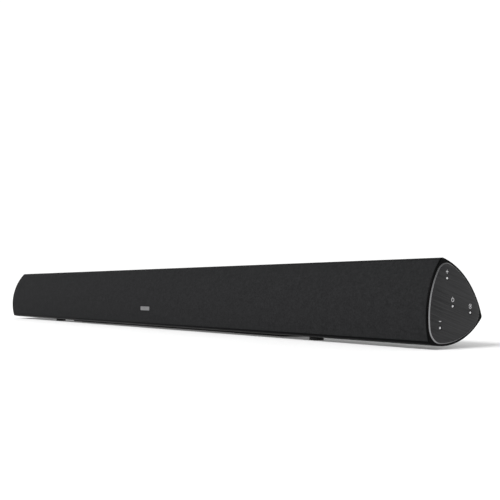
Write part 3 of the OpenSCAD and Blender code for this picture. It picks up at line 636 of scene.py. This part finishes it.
def make_end_panel(side):
    """Brushed plate with a polished edge, and on the right a dark countersunk hole for each key."""
    name = "right" if side > 0 else "left"
    cut = 0.75 * MM  # width of the polished edge
    blunt = 0.08 * MM  # break between the polished edge and the face
    hole = KEY_RADIUS + KEY_GAP
    key_stages = [(PANEL_FACE, hole + 0.35 * MM), (PANEL_FACE - 0.3 * MM, hole), (PANEL_SEAT, hole)]

    def build(bm):
        rings = [
            at_end(section(PANEL_INSET, PANEL_ROUND), PANEL_SEAT),
            at_end(section(PANEL_INSET, PANEL_ROUND), HALF_LENGTH + blunt),
            at_end(section(PANEL_INSET + cut, PANEL_ROUND - cut), PANEL_FACE - 0.02 * MM),
            at_end(section(PANEL_INSET + cut + blunt, PANEL_ROUND - cut - blunt), PANEL_FACE),
        ]
        made = loft(bm, [sided(side, ring) for ring in rings], [0, 1, 1])
        holes = []
        if side > 0:
            holes = [drill(bm, side, key_centre(key), 40, key_stages, [2, 2]) for key in KEY_NAMES]
        fill_with_holes(bm, [made[-1]] + [front for front, _ in holes])
        fill_with_holes(bm, [made[0]] + [back for _, back in holes])

    new_piece(f"{name}_brushed_panel", build, [LOOKS["panel"], LOOKS["edge"], LOOKS["rim"]],
              replaced=[f"{name}_end_panel"], smooth=20)


def make_key(name):
    """A domed bead on a shank, with the flange and stem behind the panel."""
    low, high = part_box(f"{name}_button")
    y, z = key_centre(name)
    flange_front = PANEL_SEAT - KEY_FLANGE_GAP - low[0]
    flange_back = flange_front - KEY_FLANGE_THICKNESS
    length = high[0] - low[0]
    crown = 0.55 * MM  # height of the domed end
    blunt = 0.1 * MM
    dome = [(KEY_RADIUS * math.cos(a), length - crown + crown * math.sin(a))
            for a in [i * math.pi / 20 for i in range(10)]]
    profile = [(0, 0), (KEY_STEM_RADIUS - blunt, 0), (KEY_STEM_RADIUS, blunt),
               (KEY_STEM_RADIUS, flange_back), (KEY_FLANGE_RADIUS, flange_back),
               (KEY_FLANGE_RADIUS, flange_front), (KEY_RADIUS, flange_front), *dome, (0, length)]
    new_piece(f"{name}_key", lambda bm: turned(bm, facing((1, 0, 0), (low[0], y, z)), profile, 40),
              [LOOKS["bead"]], body=f"{name}_key", replaced=[f"{name}_button"])


def ring_piece(outer, inner, start, end, steps=36):
    """Outline of part of a flat ring, between two angles."""
    angles = [start + (end - start) * i / steps for i in range(steps + 1)]
    outside = [(outer * math.cos(a), outer * math.sin(a)) for a in angles]
    inside = [(inner * math.cos(a), inner * math.sin(a)) for a in reversed(angles)]
    return outside + inside


def block(left, right, low, high):
    """Outline of a rectangle."""
    return [(left, low), (right, low), (right, high), (left, high)]


def symbol_outlines():
    """Generic marks above the keys, each a list of outlines in metres about its own middle."""
    bar = 0.28 * MM  # half the width of a stroke
    arm = 1.5 * MM
    plus = [(bar, bar), (bar, arm), (-bar, arm), (-bar, bar), (-arm, bar), (-arm, -bar), (-bar, -bar),
            (-bar, -arm), (bar, -arm), (bar, -bar), (arm, -bar), (arm, bar)]
    gap = math.radians(32)
    power = [ring_piece(1.8 * MM, 1.25 * MM, math.pi / 2 + gap, 5 * math.pi / 2 - gap),
             block(-bar, bar, 0.4 * MM, 2.4 * MM)]
    side_gap = math.radians(12)
    source = [ring_piece(2.0 * MM, 1.6 * MM, side_gap, math.pi - side_gap),
              ring_piece(2.0 * MM, 1.6 * MM, math.pi + side_gap, TURN - side_gap),
              circle_points((0, 0), 0.8 * MM, 36)]
    minus = [block(-1.4 * MM, 1.4 * MM, -bar, bar)]
    return {"volume_up": [plus], "power": power, "source": source, "volume_down": minus}


def make_symbols():
    """Thin printed marks on the right panel, each above its key."""
    rise = 5.2 * MM
    thickness = 0.03 * MM
    sunk = 0.005 * MM  # how far the print starts below the panel's face

    def build(bm):
        for key, outlines in symbol_outlines().items():
            y, z = key_centre(key)
            for outline in outlines:
                prism(bm, outline, lambda p, level: (PANEL_FACE - sunk + level * thickness,
                                                     y + p[0], z + rise + p[1]))

    new_piece("key_symbols", build, [LOOKS["print"]])


# ---- Bass ports ----


def make_port(side):
    """A tube cut to the curve of the rear, its mouth rounded over."""
    name = "right" if side > 0 else "left"
    low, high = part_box(f"{name}_bass_port")
    x, z = (low[0] + high[0]) / 2, (low[2] + high[2]) / 2
    outer = (high[0] - low[0]) / 2
    wall = 1.5 * MM
    inner = outer - wall
    lip = wall - 0.2 * MM  # radius of the rounded mouth
    bottom_y, bottom_z = polar(CORNER_DISTANCE, BOTTOM)
    steps = 64

    def ring(radius, depth=None):
        """A ring this deep below the rear's surface, or at the tube's inner end."""
        points = []
        for i in range(steps):
            angle = TURN * i / steps
            height = z + radius * math.sin(angle)
            surface = bottom_y + math.sqrt(SIDE**2 - (height - bottom_z) ** 2)
            y = low[1] if depth is None else surface - depth
            points.append((x + radius * math.cos(angle), y, height))
        return points

    mouth = [ring(inner + lip * (1 - math.sin(a)), 2 * lip * (1 - math.cos(a)))
             for a in [i * math.pi / 16 for i in range(9)]]
    rings = [ring(outer), ring(outer, 0.15 * MM), *mouth, ring(inner)]
    new_piece(f"{name}_port_tube", lambda bm: loft(bm, rings, closed=True), [LOOKS["matte"]],
              replaced=[f"{name}_bass_port"], smooth=50)


# ---- Front badge ----


def rounded_rectangle(width, height, radius, steps=6):
    """Outline of a rectangle with round corners, about its own middle."""
    points = []
    for i, (sx, sy) in enumerate(((1, 1), (-1, 1), (-1, -1), (1, -1))):
        centre = (sx * (width / 2 - radius), sy * (height / 2 - radius))
        angles = [i * math.pi / 2 + math.pi / 2 * j / steps for j in range(steps + 1)]
        points += [(centre[0] + radius * math.cos(a), centre[1] + radius * math.sin(a)) for a in angles]
    return points


def make_badge():
    """A blank plate with a bevelled edge, on the front-most line of the cloth."""
    low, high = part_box("badge")
    width, height = high[0] - low[0], high[2] - low[2]
    middle_x, middle_z = (low[0] + high[0]) / 2, (low[2] + high[2]) / 2
    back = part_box("grille_cloth")[0][1] + 0.25 * MM
    edge = 0.25 * MM
    corner = 1.0 * MM
    levels = [(back, 0.0), (low[1] + edge, 0.0), (low[1] + 0.06 * MM, edge * 0.75), (low[1], edge * 1.4)]

    def build(bm):
        rings = []
        for y, inset in levels:
            outline = rounded_rectangle(width - 2 * inset, height - 2 * inset, corner - inset)
            rings.append([(middle_x + u, y, middle_z + v) for u, v in outline])
        made = loft(bm, rings)
        bm.faces.new(made[0])
        bm.faces.new(made[-1])

    new_piece("front_badge", build, [LOOKS["badge"]], replaced=["badge"])


# ---- Floor, light and camera ----


def make_floor():
    """White sweep, lit a little from below as on a light table, so that the shade under the bar is pale."""
    mesh = bpy.data.meshes.new("floor")
    size = 400  # far enough for its edge to meet the backdrop at the horizon
    corners = [(-size, -size, 0), (size, -size, 0), (size, size, 0), (-size, size, 0)]
    mesh.from_pydata(corners, [], [(0, 1, 2, 3)])
    floor = bpy.data.objects.new("floor", mesh)
    bpy.context.scene.collection.objects.link(floor)
    look = Look("floor", Roughness=0.55)
    look.tint(look.noise(6.0), (0.80, 0.80, 0.80), (0.84, 0.84, 0.84))
    look.shader.inputs["Emission Color"].default_value = (1, 1, 1, 1)
    look.shader.inputs["Emission Strength"].default_value = 0.14
    mesh.materials.append(look.material)


def make_world():
    """White low down, where it is the backdrop, and dimmer overhead, so that shadows stay visible."""
    world = bpy.data.worlds.new("studio")
    world.use_nodes = True
    tree = world.node_tree
    background = next(n for n in tree.nodes if n.type == "BACKGROUND")
    background.inputs["Color"].default_value = (1, 1, 1, 1)
    place = tree.nodes.new("ShaderNodeTexCoord")
    split = tree.nodes.new("ShaderNodeSeparateXYZ")
    fade = tree.nodes.new("ShaderNodeMapRange")
    for key, value in (("From Min", 0.38), ("From Max", 0.62), ("To Min", 1.08), ("To Max", 0.36)):
        fade.inputs[key].default_value = value
    tree.links.new(place.outputs["Generated"], split.inputs[0])
    tree.links.new(split.outputs["Z"], fade.inputs["Value"])
    tree.links.new(fade.outputs[0], background.inputs["Strength"])
    bpy.context.scene.world = world


def make_lights():
    """One broad soft light from the front and the left, above the bar."""
    light = bpy.data.lights.new("key_light", "SUN")
    light.energy = 3.9
    light.angle = math.radians(26)
    holder = bpy.data.objects.new("key_light", light)
    holder.rotation_euler = Vector((0.10, 0.78, -0.62)).to_track_quat("-Z", "Y").to_euler()
    bpy.context.scene.collection.objects.link(holder)
    bpy.context.scene.view_settings.view_transform = "Standard"


def make_camera():
    """The view: from in front of the right end, a little above the bar's middle."""
    yaw, pitch = math.radians(52.19), math.radians(2.88)
    data = bpy.data.cameras.new("camera")
    data.sensor_width = 36
    data.lens = 56.14
    camera = bpy.data.objects.new("camera", data)
    camera.location = (0.8432, -0.5256, 0.0484)
    camera.rotation_euler = (math.pi / 2 + pitch, 0, yaw)
    bpy.context.scene.collection.objects.link(camera)
    bpy.context.scene.camera = camera


make_camera()
make_world()
make_lights()
make_floor()
dress_nodes()
make_cloth()
for side in (-1, 1):
    make_port(side)
    make_end_cap(side)
    make_end_panel(side)
for key_name in KEY_NAMES:
    make_key(key_name)
make_symbols()
make_badge()
